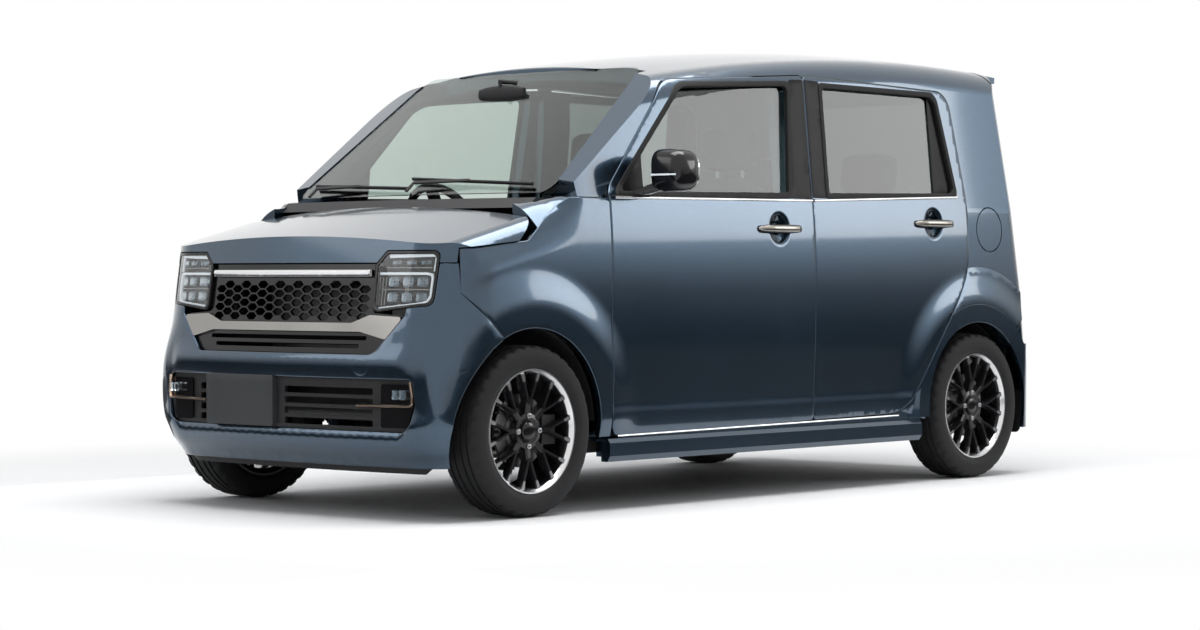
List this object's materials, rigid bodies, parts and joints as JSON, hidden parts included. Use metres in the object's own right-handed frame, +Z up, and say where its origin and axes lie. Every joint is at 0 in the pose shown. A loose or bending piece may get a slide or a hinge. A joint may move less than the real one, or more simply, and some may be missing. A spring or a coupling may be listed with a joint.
{
  "type": "kei car",
  "caption": "Boxy small hatchback car with hinged doors, bonnet, tailgate and fuel flap, steered front wheels, an open cabin with seats, and forked-spoke alloy wheels.",
  "frame": {"origin": "on the road under the middle of the overall box", "axes": "+X forward, +Y to the car's left, +Z up"},
  "size_m": [3.395, 1.78, 1.6749],
  "materials": {
    "body_paint": "gloss metallic",
    "window_glass": "tinted",
    "gloss_black": "gloss",
    "satin_chrome": "satin",
    "lamp_glass": "clear",
    "red_lens": "gloss",
    "black_plastic": "grained",
    "seat_cloth": "woven",
    "bare_steel": "satin",
    "engine_iron": "cast",
    "wheel_alloy": "gloss black with a cut rim",
    "tyre_rubber": "matte"
  },
  "bodies": {
    "shell": {"body_side_left": "body_paint", "body_side_right": "body_paint", "roof_panel": "body_paint", "front_fenders": "body_paint", "front_bumper": "body_paint", "rear_bumper": "body_paint", "side_skirts": "body_paint", "windscreen": "window_glass", "upper_grille": "gloss_black", "lower_grille": "gloss_black", "fog_lamps": "gloss_black", "grille_garnish": "satin_chrome", "headlamps": "lamp_glass", "tail_lamps": "red_lens", "arch_liners": "black_plastic", "cowl_panel": "black_plastic", "dashboard": "black_plastic", "front_seats": "seat_cloth", "rear_seat": "seat_cloth", "front_frame": "bare_steel", "floor_pan": "bare_steel", "rear_axle": "bare_steel", "exhaust": "bare_steel", "fuel_tank": "bare_steel", "engine_block": "engine_iron"},
    "bonnet": {"bonnet": "body_paint"},
    "tailgate": {"tailgate": "body_paint", "tailgate_glass": "window_glass"},
    "fuel_lid": {"fuel_lid": "body_paint"},
    "steering_wheel": {"steering_wheel": "black_plastic"},
    "front_door_left": {"front_door_left": "body_paint", "front_door_glass_left": "window_glass", "door_mirror_left": "gloss_black"},
    "rear_door_left": {"rear_door_left": "body_paint", "rear_door_glass_left": "window_glass"},
    "knuckle_left": {"knuckle_left": "bare_steel"},
    "wheel_front_left": {"wheel_front_left": "wheel_alloy", "tyre_front_left": "tyre_rubber"},
    "wheel_rear_left": {"wheel_rear_left": "wheel_alloy", "tyre_rear_left": "tyre_rubber"},
    "front_door_right": {"front_door_right": "body_paint", "front_door_glass_right": "window_glass", "door_mirror_right": "gloss_black"},
    "rear_door_right": {"rear_door_right": "body_paint", "rear_door_glass_right": "window_glass"},
    "knuckle_right": {"knuckle_right": "bare_steel"},
    "wheel_front_right": {"wheel_front_right": "wheel_alloy", "tyre_front_right": "tyre_rubber"},
    "wheel_rear_right": {"wheel_rear_right": "wheel_alloy", "tyre_rear_right": "tyre_rubber"}
  },
  "joints": [
    {"name": "steer_left", "type": "hinge", "parent": "shell", "child": "knuckle_left", "pos_m": [1.2375, 0.6, 0.281], "axis": [0, 0, 1], "range_deg": [-34, 34]},
    {"name": "steer_right", "type": "hinge", "parent": "shell", "child": "knuckle_right", "pos_m": [1.2375, -0.6, 0.281], "axis": [0, 0, 1], "range_deg": [-34, 34]},
    {"name": "steering_wheel_turn", "type": "hinge", "parent": "shell", "child": "steering_wheel", "pos_m": [0.58581, -0.33, 0.95149], "axis": [-0.9063, 0, 0.4226], "range_deg": [-520, 520]},
    {"name": "wheel_front_left_spin", "type": "hinge", "parent": "knuckle_left", "child": "wheel_front_left", "pos_m": [1.2375, 0.65, 0.281], "axis": [0, 1, 0], "continuous": true},
    {"name": "wheel_rear_left_spin", "type": "hinge", "parent": "shell", "child": "wheel_rear_left", "pos_m": [-1.2825, 0.65, 0.281], "axis": [0, 1, 0], "continuous": true},
    {"name": "wheel_front_right_spin", "type": "hinge", "parent": "knuckle_right", "child": "wheel_front_right", "pos_m": [1.2375, -0.65, 0.281], "axis": [0, 1, 0], "continuous": true},
    {"name": "wheel_rear_right_spin", "type": "hinge", "parent": "shell", "child": "wheel_rear_right", "pos_m": [-1.2825, -0.65, 0.281], "axis": [0, 1, 0], "continuous": true},
    {"name": "front_door_left_hinge", "type": "hinge", "parent": "shell", "child": "front_door_left", "pos_m": [0.7995, 0.7065, 0.65], "axis": [0, 0, -1], "range_deg": [0, 68]},
    {"name": "rear_door_left_hinge", "type": "hinge", "parent": "shell", "child": "rear_door_left", "pos_m": [-0.3125, 0.7065, 0.65], "axis": [0, 0, -1], "range_deg": [0, 76]},
    {"name": "front_door_right_hinge", "type": "hinge", "parent": "shell", "child": "front_door_right", "pos_m": [0.7995, -0.7065, 0.65], "axis": [0, 0, 1], "range_deg": [0, 68]},
    {"name": "rear_door_right_hinge", "type": "hinge", "parent": "shell", "child": "rear_door_right", "pos_m": [-0.3125, -0.7065, 0.65], "axis": [0, 0, 1], "range_deg": [0, 76]},
    {"name": "tailgate_hinge", "type": "hinge", "parent": "shell", "child": "tailgate", "pos_m": [-1.4955, 0, 1.652], "axis": [0, 1, 0], "range_deg": [0, 80]},
    {"name": "bonnet_hinge", "type": "hinge", "parent": "shell", "child": "bonnet", "pos_m": [1.0405, 0, 1.064], "axis": [0, -1, 0], "range_deg": [0, 50]},
    {"name": "fuel_lid_hinge", "type": "hinge", "parent": "shell", "child": "fuel_lid", "pos_m": [-1.3015, 0.713, 0.967], "axis": [0, 0, -1], "range_deg": [0, 85]}
  ],
  "couplings": [
    {"joint": "steer_right", "follows": "steer_left", "ratio": 1},
    {"joint": "steering_wheel_turn", "follows": "steer_left", "ratio": 15}
  ]
}
